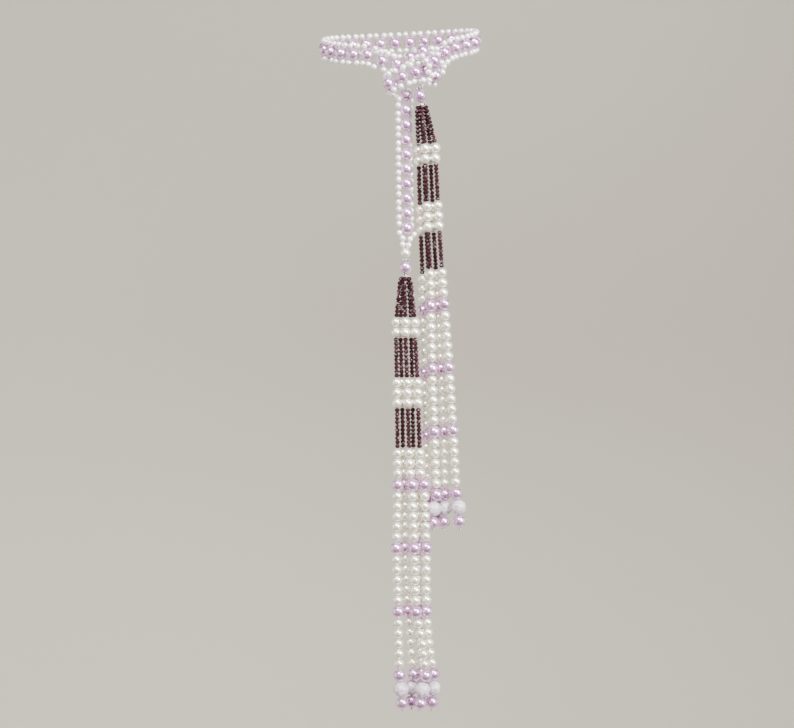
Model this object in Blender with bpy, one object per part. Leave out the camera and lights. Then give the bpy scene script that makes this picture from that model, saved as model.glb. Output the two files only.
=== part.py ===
"""A beaded curtain tieback, in the shape in which it hangs.

One cross-woven band of pearls runs round as a loop, is knotted in front and ends in two
tassels: a long one below the band's hanging tail, and a short one at the knot.
X runs to the right, Y to the back and Z up. The origin is where the back of the loop is held.
Beads on the band and on the tassel strings are lumps of one solid each.
"""

from collections import namedtuple
from math import asin, cos, pi, radians, sin, sqrt

import bmesh
import bpy
from mathutils import Matrix, Vector

MM = 0.001

# ---------------------------------------------------------------- driving sizes, in millimetres
LILAC = 10.0                  # lilac pearl
WHITE = 8.0                   # white pearl on the tassel strings
FROST = 12.0                  # frosted ball near a string's end
SMALL = 5.0                   # small white pearl at the band's sides
CRYSTAL = 4.0                 # faceted crystal
SECTION = 31.5                # ten crystals in a row, as the levels below count them
TIP = 1.9                     # the last tiny bead of a string
GAP = 0.3                     # clearance between neighbouring pieces

SIDE_ROW = 6.7                # from the lilac row to a side row
LOOP_HALF_WIDTH = 62.0
LOOP_HALF_DEPTH = 40.0
LOOP_CENTRE_X = 1.0
LOOP_FIRST_X = -24.9          # the loop's first pearl, left of the knot
LOOP_LAST_X = 45.2            # the loop's last pearl, right of the knot
LOOP_PEARLS = 22
WALK_STEPS = 720              # short steps that measure the way along the loop
LOOP_TILT = 0.054             # the right side hangs higher than the left
LOOP_DROP = (-8.0, 11.0, -3.0)   # height at mid depth, its slope and its curve towards the back

TAIL_PEARLS = 10
TAIL_TOP = (5.6, -81.0, -54.6)
TAIL_END = (6.4, -89.6, -160.2)
TAIL_FACE = (-0.30, 0.95, 0.0)
TAIL_FOLD = 45.0              # the tail's hidden side row is folded back by this angle

NECK_SPACER = 1.5
SPACER_WIDTH = 7.6
CAP_HEIGHT = 2.6
CAP_WIDTH = 7.4
CAP_WAIST = 5.0
ROOT_DEPTH = 1.0              # how far a string's root runs up into its cap
ROOT_WIDTH = 1.5

# ---------------------------------------------------------------- shares of a bead's size
STRING_SIDES = 6
CORNER = 1.07                 # a six-sided lump keeps the pearl's girth
SHOULDER = 0.25               # a lump's shoulders lie this share of its size from its middle
SHOULDER_WIDTH = 0.88
NECK = 1.4                    # radius of the waist between two beads
TURNED_SIDES = 12
PEARL_RINGS = 8
CREASE = 50.0                 # edges sharper than this many degrees stay sharp
SMALL_STAND = 0.54            # small pearls stand this share of their size from half way
VALLEY_REACH = 0.64           # where the valley between two rows lies, as a share of the way out
VALLEY_FOLD = 0.7             # the valley takes this share of a side row's fold
VALLEY_PLUMP = 0.45           # the valley's half thickness beside a pearl, by the pearl's
VALLEY_THIN = 0.9             # the valley's half thickness elsewhere, in millimetres
THREAD_HALF = 1.0             # nothing is thinner than the threads, in millimetres
END_PLUMP = 0.6               # half thickness of the narrowing end, by its side rows' radius

Knot = namedtuple("Knot", "name x y z face_x face_y face_z upper lower")

# The knot's pearls in front of the loop, from the short tassel up over the crossing and left.
KNOT_LEFT = (
    Knot("wrap_low",   28.9, -89.5, -40.2,  0.71, -0.64, -0.29, 0, 0),
    Knot("wrap_side",  27.7, -91.5, -28.6,  0.52, -0.80,  0.30, 0, 0),
    Knot("wrap_top",   19.1, -88.5, -20.6,  0.12, -0.77,  0.62, 0, 0),
    Knot("wrap_rise",   9.4, -82.5, -24.8, -0.60, -0.35,  0.72, 0, 0),
    Knot("under",      -1.6, -80.0, -29.4, -0.10, -0.90,  0.40, 0, 0),
    Knot("left_front", -13.4, -79.8, -26.9, -0.10, -1.00,  0.10, 0, 0),
)

# The knot's pearls from the right of the loop down across the front and under to the tail.
KNOT_RIGHT = (
    Knot("right_front", 36.6, -75.0, -19.8,  0.55, -0.83,  0.10, 0, 0),
    Knot("crossing",    29.0, -77.0, -28.2,  0.30, -0.95,  0.10, 0, 0),
    Knot("rise",        21.6, -81.5, -35.0,  0.45, -0.85, -0.15, 0, 0),
    Knot("front_right", 13.4, -89.0, -37.4,  0.40, -0.86, -0.25, 0, 0),
    Knot("front",        2.6, -92.5, -41.3, -0.10, -1.00,  0.10, 0, 0),
    Knot("fold",        -8.2, -88.8, -46.0, -0.85, -0.45, -0.20, 0, 0),
    Knot("under_fold",  -4.4, -77.4, -46.0, -0.40,  0.85, -0.10, 0, 30),
)

# The narrowing end of the band: share of its way, half width and half thickness.
End = namedtuple("End", "share half_width row_radius")
BAND_END = (
    End(0.34, 5.4, 2.5),
    End(0.52, 4.2, 1.4),
    End(0.68, 3.3, 2.4),
    End(0.84, 2.8, 1.4),
    End(1.00, 2.5, 2.3),
)
TIP_HALF_WIDTH = 0.9          # the band's last face, where its threads go into the head
TIP_MIDDLE = 1.2
TIP_ROW = 0.8
END_HANDLE = 0.5              # how far the end keeps the band's own course
SHORT_END_AIM = (19.4, -92.0, -45.0)      # the last small pearls above the short tassel
SHORT_END_FACE = (0.20, -0.25, -0.95)
LONG_END_AIM = (5.3, -89.8, -172.8)       # the last small pearls above the long tassel

# The strings of a tassel: kind of bead and how many, from the cap down.
STRING = (
    ("crystals", 1), ("white", 2), ("crystals", 1), ("white", 3), ("crystals", 1), ("white", 3),
    ("lilac", 1), ("white", 5), ("lilac", 1), ("white", 5), ("lilac", 1), ("white", 5),
    ("lilac", 1), ("frost", 1), ("lilac", 1), ("tip", 1),
)

# How long a row of ten crystals is on each string of the two tassels.
Runs = namedtuple("Runs", "a b c d e")
LONG_RUNS = Runs(31.5, 31.5, 31.5, 31.5, 31.5)
SHORT_RUNS = Runs(30.6, 29.4, 29.0, 29.4, 29.0)

# Where the five strings a to e lie at some depths below their cap: right of and behind its axis.
Level = namedtuple("Level", "below ax ay bx by cx cy dx dy ex ey")
LONG_LEVELS = (
    Level(0.0,   -1.9,  0.0,  -0.6, -1.8,  1.8, -0.6, -1.2,  1.5,  1.4,  1.4),
    Level(4.0,   -4.4,  0.0,  -0.8, -3.2,  3.9, -0.8, -2.2,  3.8,  2.6,  3.7),
    Level(35.0,  -7.5,  0.0,  -0.2, -3.8,  7.3,  0.0, -4.0,  7.5,  4.4,  7.8),
    Level(44.0,  -7.5,  0.0,  -0.2, -3.8,  7.3,  0.0, -4.0,  7.5,  4.4,  7.8),
    Level(83.0,  -6.9,  0.0,   1.2, -1.4,  9.4,  0.0, -2.9,  7.2,  5.4,  7.4),
    Level(99.0,  -6.7,  0.0,   1.6, -1.0,  9.8,  0.0, -2.6,  7.2,  5.6,  7.6),
    Level(138.0, -6.3,  0.0,   2.8, -1.0, 11.1,  0.4, -2.0,  7.2,  6.2,  8.4),
    Level(155.0, -6.2,  0.0,   3.6, -1.0, 11.8,  1.2, -1.6,  7.6,  7.2,  9.8),
    Level(163.5, -6.1,  0.0,   5.2, -1.2, 14.7,  2.8, -0.8,  8.8,  9.3, 12.2),
    Level(213.5, -7.4,  0.0,   6.9, -1.0, 16.5,  2.8, -0.7,  8.2, 10.8, 11.9),
    Level(263.5, -5.8,  0.0,   8.0, -2.0, 16.5,  3.8,  1.7,  7.3, 10.4, 12.6),
    Level(286.5, -5.7,  0.0,  13.0, -3.4, 18.0,  4.6,  4.0,  7.2, 11.6, 12.6),
    Level(313.5, -4.8,  0.0,  15.9, -2.4, 22.0,  6.6,  6.2,  6.2, 13.4, 13.4),
    Level(324.5, -3.7,  0.0,  13.3, -2.2, 22.0,  6.6,  4.6,  9.0, 13.8, 17.4),
    Level(343.0, -2.2,  0.0,  10.7, -1.6, 20.4,  5.4,  4.8,  9.4, 13.3, 15.2),
)
SHORT_LEVELS = (
    Level(0.0,   -1.9,  0.4,  -0.6, -1.8,  1.8, -0.8,  1.3,  1.5, -0.8,  1.9),
    Level(4.0,   -3.9,  1.4,  -0.5, -2.2,  3.8, -0.8,  3.0,  3.6, -1.2,  4.8),
    Level(35.0,  -2.6,  9.0,   2.6,  2.2, 10.8,  2.2,  6.9,  9.6,  1.8, 16.2),
    Level(44.0,  -2.6,  9.8,   2.6,  3.2, 10.8,  3.2,  6.9, 10.6,  1.8, 17.2),
    Level(83.0,  -1.4, 13.6,   4.2,  7.4, 12.8,  7.4,  8.6, 14.6,  3.0, 21.0),
    Level(99.0,  -0.8, 15.0,   4.8,  9.0, 13.6,  9.0,  9.3, 16.1,  3.5, 22.6),
    Level(138.0,  0.6, 18.2,   6.8, 11.6, 16.0, 11.6, 11.4, 19.0,  5.4, 25.8),
    Level(155.0,  0.9, 19.6,   7.0, 12.0, 17.2, 12.0, 12.3, 20.2,  6.2, 27.6),
    Level(163.5,  0.9, 20.6,   7.0, 12.0, 18.0, 12.0, 12.7, 21.2,  6.4, 29.6),
    Level(213.5,  1.8, 20.6,   8.1, 12.0, 21.6, 12.0, 15.4, 20.7,  8.7, 28.8),
    Level(263.5,  3.6, 20.6,   9.8, 12.0, 24.8, 12.0, 17.9, 20.4, 10.9, 28.2),
    Level(313.5,  4.7, 20.4,  11.6, 12.0, 27.4, 12.0, 18.4, 20.2, 11.5, 28.6),
    Level(324.5,  2.8, 21.9,   9.4, 11.4, 29.2, 12.0, 18.3, 20.1, 11.6, 30.8),
    Level(343.0,  3.4, 21.0,   8.9, 11.2, 30.4, 12.0, 17.0, 19.0, 11.9, 28.4),
)

CAP_SHOULDER = 0.55           # the cap has its full width from this share of its height down
ROOT_FREE = 0.9               # depth below the cap where a string's root begins to widen
FIRST_CRYSTAL = 3.2           # depth below the cap where the first crystal has its full girth
CRYSTAL_GIRTH = 0.48          # radius of a run of crystals, by a crystal's size
CRYSTAL_END = 0.4             # radius at a run's two ends
CRYSTAL_TAPER = 1.6           # length of a run's two tapered ends
TIP_END = 0.4                 # radius of a string's last face, by its last bead's size
SAME_DEPTH = 0.01

LONG_AXIS = (0.0, 0.0, -1.0)
SHORT_AXIS = (0.20, 0.16, -0.97)
SHORT_SPACER_TOP = (15.2, -92.8, -49.6)
LONG_NECK_TOP = (5.2, -89.8, -175.9)

COLOURS = {
    "band": ((0.80, 0.66, 0.80, 1.0), 0.25, 0.0),
    "white": ((0.86, 0.85, 0.78, 1.0), 0.25, 0.0),
    "lilac": ((0.74, 0.56, 0.76, 1.0), 0.25, 0.0),
    "silver": ((0.72, 0.71, 0.70, 1.0), 0.28, 1.0),
    "strings": ((0.62, 0.52, 0.54, 1.0), 0.25, 0.0),
}


def point(xyz):
    """A place given in millimetres, in metres."""
    return Vector(xyz) * MM


def clear_scene():
    for old in list(bpy.data.objects):
        bpy.data.objects.remove(old, do_unlink=True)


def finish_of(name):
    """The Principled material of one kind of piece."""
    colour, roughness, metallic = COLOURS[name]
    material = bpy.data.materials.new(name)
    material.use_nodes = True
    shader = material.node_tree.nodes["Principled BSDF"]
    shader.inputs["Base Color"].default_value = colour
    shader.inputs["Roughness"].default_value = roughness
    shader.inputs["Metallic"].default_value = metallic
    return material


def make_object(name, bm, finish):
    """Turns a bmesh into a named object with its own material."""
    bmesh.ops.recalc_face_normals(bm, faces=bm.faces)
    mesh = bpy.data.meshes.new(name)
    bm.to_mesh(mesh)
    bm.free()
    mesh.materials.append(finish_of(finish))
    mesh.shade_smooth()
    mesh.set_sharp_from_angle(angle=radians(CREASE))
    piece = bpy.data.objects.new(name, mesh)
    bpy.context.scene.collection.objects.link(piece)
    return piece


def loft(bm, rings):
    """Skins a row of rings of equal counts and closes both ends."""
    loops = [[bm.verts.new(place) for place in ring] for ring in rings]
    for low, high in zip(loops, loops[1:]):
        for k in range(len(low)):
            n = (k + 1) % len(low)
            bm.faces.new((low[k], low[n], high[n], high[k]))
    bm.faces.new(list(reversed(loops[0])))
    bm.faces.new(loops[-1])


# ---------------------------------------------------------------- the band

Row = namedtuple("Row", "centre face upper lower")


def loop_point(angle):
    """A place on the loop's oval, with angle 0 at the back and growing towards the left."""
    side = -sin(angle)
    back = cos(angle)
    base, slope, curve = LOOP_DROP
    x = LOOP_CENTRE_X + LOOP_HALF_WIDTH * side
    y = LOOP_HALF_DEPTH * (back - 1.0)
    z = base + slope * back + curve * back * back + LOOP_TILT * (x - LOOP_CENTRE_X)
    return Vector((x, y, z))


def loop_rows():
    """The loop's pearls at even steps along its oval, from left of the knot round to its right."""
    reach = (LOOP_CENTRE_X - LOOP_FIRST_X) / LOOP_HALF_WIDTH
    far_reach = (LOOP_CENTRE_X - LOOP_LAST_X) / LOOP_HALF_WIDTH
    start = pi - asin(reach)
    end = -pi - asin(far_reach)
    step = (end - start) / WALK_STEPS
    walk = [loop_point(start + step * k) for k in range(WALK_STEPS + 1)]
    lengths = [0.0]
    for near, far in zip(walk, walk[1:]):
        lengths.append(lengths[-1] + (far - near).length)
    rows = []
    k = 0
    for pearl in range(LOOP_PEARLS):
        want = lengths[-1] * pearl / (LOOP_PEARLS - 1)
        while k < WALK_STEPS - 1 and lengths[k + 1] < want:
            k += 1
        share = (want - lengths[k]) / (lengths[k + 1] - lengths[k])
        centre = walk[k].lerp(walk[k + 1], share)
        out_x = (centre.x - LOOP_CENTRE_X) / LOOP_HALF_WIDTH ** 2
        out_y = (centre.y + LOOP_HALF_DEPTH) / LOOP_HALF_DEPTH ** 2
        rows.append(Row(centre, Vector((out_x, out_y, 0.0)).normalized(), 0.0, 0.0))
    return rows


def knot_rows(table):
    return [Row(Vector((k.x, k.y, k.z)), Vector((k.face_x, k.face_y, k.face_z)).normalized(),
                k.upper, k.lower) for k in table]


def tail_rows():
    top = Vector(TAIL_TOP)
    end = Vector(TAIL_END)
    face = Vector(TAIL_FACE).normalized()
    return [Row(top.lerp(end, k / (TAIL_PEARLS - 1)), face, TAIL_FOLD, 0.0)
            for k in range(TAIL_PEARLS)]


def band_rows():
    """Every lilac pearl of the band, from the short tassel to the long one."""
    return knot_rows(KNOT_LEFT) + loop_rows() + knot_rows(KNOT_RIGHT) + tail_rows()


def between(rows, k, share):
    """The band's centre, direction, face and folds between pearls k and k + 1."""
    a = rows[k - 1].centre if k > 0 else Vector(SHORT_END_AIM)
    b = rows[k].centre
    c = rows[k + 1].centre
    d = rows[k + 2].centre if k < len(rows) - 2 else Vector(LONG_END_AIM)
    t = share
    centre = 0.5 * (2 * b + (c - a) * t + (2 * a - 5 * b + 4 * c - d) * t ** 2
                    + (3 * b - a - 3 * c + d) * t ** 3)
    along = 0.5 * ((c - a) + (2 * a - 5 * b + 4 * c - d) * 2 * t
                   + (3 * b - a - 3 * c + d) * 3 * t ** 2)
    along.normalize()
    face = rows[k].face.lerp(rows[k + 1].face, t)
    face = (face - along * face.dot(along)).normalized()
    upper = rows[k].upper + (rows[k + 1].upper - rows[k].upper) * t
    lower = rows[k].lower + (rows[k + 1].lower - rows[k].lower) * t
    return centre, along, face, radians(upper), radians(lower)


def cross_ring(centre, along, face, upper, lower, middle, valley, row, reach):
    """A ring of twelve points across the band; the numbers are half thicknesses and a reach."""
    across = along.cross(face)
    top = []
    bottom = []
    for side, fold in ((1.0, upper), (-1.0, lower)):
        out = across * side
        bent = out * cos(fold) + face * sin(fold)
        bent_face = face * cos(fold) - out * sin(fold)
        less = VALLEY_FOLD * fold
        half = out * cos(less) + face * sin(less)
        half_face = face * cos(less) - out * sin(less)
        low = centre + half * (VALLEY_REACH * reach)
        rim = centre + bent * reach
        top.append((low + half_face * valley, rim + bent_face * row, rim + bent * row))
        bottom.append((rim - bent_face * row, low - half_face * valley))
    return [point(p) for p in (
        centre + face * middle, *top[0], *bottom[0],
        centre - face * middle, *reversed(bottom[1]), top[1][2], top[1][1], top[1][0])]


def pearl_half(size, away):
    """Half the thickness of a ball at a distance from its middle, never less than its thread."""
    radius = 0.5 * size
    left = radius * radius - away * away
    return max(sqrt(max(left, 0.0)), THREAD_HALF)


def band_stations(rows):
    """Rings along the band: at each pearl, at the small pearls beside it and half way."""
    plump = VALLEY_PLUMP * 0.5 * LILAC
    rings = []
    for k in range(len(rows) - 1):
        pitch = (rows[k + 1].centre - rows[k].centre).length
        small = 0.5 * pitch - SMALL_STAND * SMALL
        at_pearl = (0.5 * LILAC, plump, THREAD_HALF)
        at_small = (pearl_half(LILAC, small), VALLEY_THIN, 0.5 * SMALL)
        half_way = (THREAD_HALF, VALLEY_THIN, pearl_half(SMALL, 0.5 * pitch - small))
        rings.append(cross_ring(*between(rows, k, 0.0), *at_pearl, SIDE_ROW))
        rings.append(cross_ring(*between(rows, k, small / pitch), *at_small, SIDE_ROW))
        rings.append(cross_ring(*between(rows, k, 0.5), *half_way, SIDE_ROW))
        rings.append(cross_ring(*between(rows, k, 1.0 - small / pitch), *at_small, SIDE_ROW))
    rings.append(cross_ring(*between(rows, len(rows) - 2, 1.0), *at_pearl, SIDE_ROW))
    return rings


def end_rings(place, aim, last_face, foot, axis):
    """The narrowing end of the band, which bends round to the piece that is strung below it."""
    centre, along, face, _, _ = place
    aim = Vector(aim)
    handle = centre + along * (END_HANDLE * (aim - centre).length)
    rings = []
    for end in BAND_END:
        t = end.share
        spot = centre * (1 - t) ** 2 + handle * (2 * t * (1 - t)) + aim * t ** 2
        course = ((handle - centre) * (1 - t) + (aim - handle) * t).normalized()
        front = face.lerp(last_face, t)
        front = (front - course * front.dot(course)).normalized()
        away = (spot - centre).length
        middle = max(pearl_half(LILAC, away), END_PLUMP * end.row_radius)
        rings.append(cross_ring(spot, course, front, 0.0, 0.0, middle, VALLEY_THIN,
                                end.row_radius, end.half_width))
    front = (last_face - axis * last_face.dot(axis)).normalized()
    rings.append(cross_ring(foot, axis, front, 0.0, 0.0, TIP_MIDDLE, VALLEY_THIN, TIP_ROW,
                            TIP_HALF_WIDTH))
    return rings


def make_band():
    rows = band_rows()
    stations = band_stations(rows)
    start = between(rows, 0, 0.0)
    start_back = (start[0], -start[1], start[2], 0.0, 0.0)
    short_axis = Vector(SHORT_AXIS).normalized()
    short_end = end_rings(start_back, SHORT_END_AIM, Vector(SHORT_END_FACE).normalized(),
                          Vector(SHORT_SPACER_TOP) - short_axis * GAP, short_axis)
    finish = between(rows, len(rows) - 2, 1.0)
    long_axis = Vector(LONG_AXIS).normalized()
    long_end = end_rings(finish, LONG_END_AIM, finish[2],
                         Vector(LONG_NECK_TOP) - long_axis * GAP, long_axis)
    bm = bmesh.new()
    loft(bm, [mirrored(ring) for ring in reversed(short_end)] + stations + long_end)
    return make_object("band", bm, "band")


def mirrored(ring):
    """The same ring counted the other way round, for a stretch that runs backwards."""
    return [ring[0]] + list(reversed(ring[1:]))


# ---------------------------------------------------------------- heads and tassels

def make_pearl(name, size, top, axis, finish):
    """A pearl whose upper pole is at a given place; returns the place of its lower pole."""
    course = Vector(axis).normalized()
    centre = Vector(top) + course * (0.5 * size)
    bm = bmesh.new()
    turn = course.to_track_quat("Z", "Y").to_matrix().to_4x4()
    place = Matrix.Translation(point(centre)) @ turn
    bmesh.ops.create_uvsphere(bm, u_segments=TURNED_SIDES, v_segments=PEARL_RINGS,
                              radius=0.5 * size * MM, matrix=place)
    make_object(name, bm, finish)
    return Vector(top) + course * size


def make_spacer(name, top, axis):
    """A thin round spacer; returns the place of its lower face."""
    course = Vector(axis).normalized()
    centre = Vector(top) + course * (0.5 * NECK_SPACER)
    bm = bmesh.new()
    turn = course.to_track_quat("Z", "Y").to_matrix().to_4x4()
    place = Matrix.Translation(point(centre)) @ turn
    radius = 0.5 * SPACER_WIDTH * MM
    bmesh.ops.create_cone(bm, cap_ends=True, segments=TURNED_SIDES, radius1=radius,
                          radius2=radius, depth=NECK_SPACER * MM, matrix=place)
    make_object(name, bm, "silver")
    return Vector(top) + course * NECK_SPACER


def string_profile(run):
    """Depths below the cap and radii along one string, with rows of crystals as long as a run."""
    sizes = {"white": WHITE, "lilac": LILAC, "frost": FROST, "tip": TIP}
    girth = CRYSTAL_GIRTH * CRYSTAL
    thin = CRYSTAL_END * CRYSTAL
    profile = [(-ROOT_DEPTH, 0.5 * ROOT_WIDTH), (ROOT_FREE, 0.5 * ROOT_WIDTH),
               (FIRST_CRYSTAL, girth)]
    depth = 0.0
    for kind, count in STRING:
        if kind == "crystals":
            if depth > 0.0:
                profile.append((depth, thin))
                profile.append((depth + CRYSTAL_TAPER, girth))
            depth += run
            profile.append((depth - CRYSTAL_TAPER, girth))
            profile.append((depth, thin))
            continue
        for _ in range(count):
            size = sizes[kind]
            if kind == "tip":
                profile.append((depth + size, TIP_END * size))
                break
            if profile[-1][0] < depth - SAME_DEPTH:
                profile.append((depth, NECK))
            middle = depth + 0.5 * size
            wide = 0.5 * size * SHOULDER_WIDTH * CORNER
            profile.append((middle - SHOULDER * size, wide))
            profile.append((middle + SHOULDER * size, wide))
            depth += size
            profile.append((depth, NECK))
    return profile


def string_place(levels, letter, below):
    """Where a string's axis is at a depth below the cap, straight from level to level."""
    rights = [getattr(level, letter + "x") for level in levels]
    backs = [getattr(level, letter + "y") for level in levels]
    k = 0
    while k < len(levels) - 2 and levels[k + 1].below < below:
        k += 1
    span = levels[k + 1].below - levels[k].below
    t = min(max((below - levels[k].below) / span, 0.0), 1.0)
    return rights[k] + (rights[k + 1] - rights[k]) * t, backs[k] + (backs[k + 1] - backs[k]) * t


def make_string(levels, letter, run, foot):
    """One string of beads as a closed lumpy rod that hangs from the cap's foot."""
    rings = []
    for (below, radius), (mark, _) in zip(string_profile(run), string_profile(SECTION)):
        right, back = string_place(levels, letter, mark)
        centre = foot + Vector((right, back, -below))
        ring = []
        for k in range(STRING_SIDES):
            angle = 2.0 * pi * (k + 0.5) / STRING_SIDES
            ring.append(point(centre + radius * Vector((cos(angle), sin(angle), 0.0))))
        rings.append(ring)
    bm = bmesh.new()
    loft(bm, rings)
    return bm


def make_tassel(name, levels, runs, top, axis):
    """A silver cap with five strings of beads fused to its foot."""
    course = Vector(axis).normalized()
    foot = Vector(top) + course * CAP_HEIGHT
    rings = []
    for share, width in ((0.0, CAP_WAIST), (CAP_SHOULDER, CAP_WIDTH), (1.0, CAP_WIDTH)):
        centre = Vector(top).lerp(foot, share)
        ring = []
        for k in range(TURNED_SIDES):
            angle = 2.0 * pi * (k + 0.5) / TURNED_SIDES
            ring.append(point(centre + 0.5 * width * Vector((cos(angle), sin(angle), 0.0))))
        rings.append(ring)
    bm = bmesh.new()
    loft(bm, rings)
    tassel = make_object(name, bm, "strings")
    for letter in "abcde":
        rod = make_string(levels, letter, getattr(runs, letter), foot)
        string = make_object(name + "_string_" + letter, rod, "strings")
        fuse(tassel, string)
    return tassel


def fuse(piece, other):
    """Unites another closed piece with this one and removes the other."""
    union = piece.modifiers.new("fuse", "BOOLEAN")
    union.operation = "UNION"
    union.solver = "EXACT"
    union.object = other
    bpy.context.view_layer.update()
    depsgraph = bpy.context.evaluated_depsgraph_get()
    mesh = bpy.data.meshes.new_from_object(piece.evaluated_get(depsgraph))
    piece.modifiers.clear()
    piece.data = mesh
    bpy.data.objects.remove(other, do_unlink=True)


def make_heads_and_tassels():
    long_axis = Vector(LONG_AXIS).normalized()
    place = make_pearl("pearl_long_neck", WHITE, LONG_NECK_TOP, LONG_AXIS, "white")
    place = make_spacer("spacer_long", place + long_axis * GAP, LONG_AXIS)
    place = make_pearl("pearl_long_head", LILAC, place + long_axis * GAP, LONG_AXIS, "lilac")
    make_tassel("tassel_long", LONG_LEVELS, LONG_RUNS, place + long_axis * GAP, LONG_AXIS)
    short_axis = Vector(SHORT_AXIS).normalized()
    place = make_spacer("spacer_short", SHORT_SPACER_TOP, SHORT_AXIS)
    place = make_pearl("pearl_short_head", LILAC, place + short_axis * GAP, SHORT_AXIS, "lilac")
    make_tassel("tassel_short", SHORT_LEVELS, SHORT_RUNS, place + short_axis * GAP, SHORT_AXIS)


def main():
    clear_scene()
    make_band()
    make_heads_and_tassels()


main()
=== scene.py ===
"""A beaded curtain tieback: a woven band of pearls, knotted in front, with two tassels.

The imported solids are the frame. Each bead is laid where its lump is, and threads run through
all of them. Sizes and places in the tables are millimetres on the frame's own axes: X to the
right, Y to the back and Z up from the place where the back of the loop is held. Those of the
view, the room and the lights are metres.
"""

from collections import namedtuple
from functools import lru_cache
from math import asin, atan2, cos, pi, radians, sin
from random import Random

import bmesh
import bpy
from bpy.props import FloatProperty, FloatVectorProperty, PointerProperty
from mathutils import Matrix, Vector


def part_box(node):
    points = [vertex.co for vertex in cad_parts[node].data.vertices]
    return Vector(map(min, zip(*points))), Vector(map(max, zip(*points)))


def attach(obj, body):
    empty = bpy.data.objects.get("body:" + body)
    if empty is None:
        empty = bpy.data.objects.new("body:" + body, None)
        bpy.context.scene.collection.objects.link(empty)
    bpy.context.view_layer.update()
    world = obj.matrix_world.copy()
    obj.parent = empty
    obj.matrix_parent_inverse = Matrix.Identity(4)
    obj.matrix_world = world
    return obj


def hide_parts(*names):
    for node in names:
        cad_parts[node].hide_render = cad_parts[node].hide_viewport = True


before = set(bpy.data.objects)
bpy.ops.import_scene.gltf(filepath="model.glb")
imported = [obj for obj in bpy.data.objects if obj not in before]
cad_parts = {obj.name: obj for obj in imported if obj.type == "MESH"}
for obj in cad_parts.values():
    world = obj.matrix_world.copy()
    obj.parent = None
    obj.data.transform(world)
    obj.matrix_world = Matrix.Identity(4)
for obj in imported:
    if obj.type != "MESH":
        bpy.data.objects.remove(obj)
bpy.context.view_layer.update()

bl_info = {
    "name": "Beaded Curtain Tieback",
    "version": (1, 0, 0),
    "blender": (4, 5, 0),
    "location": "3D View > Sidebar > Tieback",
    "description": "Strings the pearls, crystals and silver of a beaded tieback",
    "category": "Object",
}

MM = 0.001

# ---------------- the band's course
SIDE_ROW = 6.7                # from the lilac row to a side row
SMALL_STAND = 0.54            # small pearls stand this share of their size from half way
LOOP_HALF_WIDTH = 62.0
LOOP_HALF_DEPTH = 40.0
LOOP_CENTRE_X = 1.0
LOOP_FIRST_X = -24.9          # the loop's first pearl, left of the knot
LOOP_LAST_X = 45.2            # the loop's last pearl, right of the knot
LOOP_PEARLS = 22
LOOP_TILT = 0.054             # the right side hangs higher than the left
LOOP_DROP = (-8.0, 11.0, -3.0)   # height at mid depth, its slope and its curve towards the back
WALK_STEPS = 720              # short steps that measure the way along the loop

TAIL_PEARLS = 10
TAIL_TOP = (5.6, -81.0, -54.6)
TAIL_END = (6.4, -89.6, -160.2)
TAIL_FACE = (-0.30, 0.95, 0.0)
TAIL_FOLD = 45.0              # the tail's hidden side row is folded back by this angle

Knot = namedtuple("Knot", "name x y z face_x face_y face_z upper lower")

# The knot's pearls in front of the loop, from the short tassel up over the crossing and left.
KNOT_LEFT = (
    Knot("wrap_low",   28.9, -89.5, -40.2,  0.71, -0.64, -0.29, 0, 0),
    Knot("wrap_side",  27.7, -91.5, -28.6,  0.52, -0.80,  0.30, 0, 0),
    Knot("wrap_top",   19.1, -88.5, -20.6,  0.12, -0.77,  0.62, 0, 0),
    Knot("wrap_rise",   9.4, -82.5, -24.8, -0.60, -0.35,  0.72, 0, 0),
    Knot("under",      -1.6, -80.0, -29.4, -0.10, -0.90,  0.40, 0, 0),
    Knot("left_front", -13.4, -79.8, -26.9, -0.10, -1.00,  0.10, 0, 0),
)

# The knot's pearls from the right of the loop down across the front and under to the tail.
KNOT_RIGHT = (
    Knot("right_front", 36.6, -75.0, -19.8,  0.55, -0.83,  0.10, 0, 0),
    Knot("crossing",    29.0, -77.0, -28.2,  0.30, -0.95,  0.10, 0, 0),
    Knot("rise",        21.6, -81.5, -35.0,  0.45, -0.85, -0.15, 0, 0),
    Knot("front_right", 13.4, -89.0, -37.4,  0.40, -0.86, -0.25, 0, 0),
    Knot("front",        2.6, -92.5, -41.3, -0.10, -1.00,  0.10, 0, 0),
    Knot("fold",        -8.2, -88.8, -46.0, -0.85, -0.45, -0.20, 0, 0),
    Knot("under_fold",  -4.4, -77.4, -46.0, -0.40,  0.85, -0.10, 0, 30),
)

# The last small pearls of the narrowing band: share of their way and half their distance apart.
End = namedtuple("End", "share half_width")
BAND_END = (End(0.34, 5.4), End(0.68, 3.3), End(1.00, 2.5))
END_HANDLE = 0.5              # how far the end keeps the band's own course
SHORT_END_AIM = (19.4, -92.0, -45.0)      # the last small pearls above the short tassel
SHORT_END_FACE = (0.20, -0.25, -0.95)
LONG_END_AIM = (5.3, -89.8, -172.8)       # the last small pearls above the long tassel

# ---------------- the tassels
SECTION = 31.5                # ten crystals in a row, as the levels below count them
SECTION_CRYSTALS = 10
GAP = 0.3                     # between a head's neighbouring pieces
LONG_AXIS = (0.0, 0.0, -1.0)  # which way the two tassels' heads hang
SHORT_AXIS = (0.20, 0.16, -0.97)

# The strings of a tassel: kind of bead and how many, from the cap down.
STRING = (
    ("crystals", 1), ("white", 2), ("crystals", 1), ("white", 3), ("crystals", 1), ("white", 3),
    ("lilac", 1), ("white", 5), ("lilac", 1), ("white", 5), ("lilac", 1), ("white", 5),
    ("lilac", 1), ("frost", 1), ("lilac", 1), ("tip", 1),
)

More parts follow.
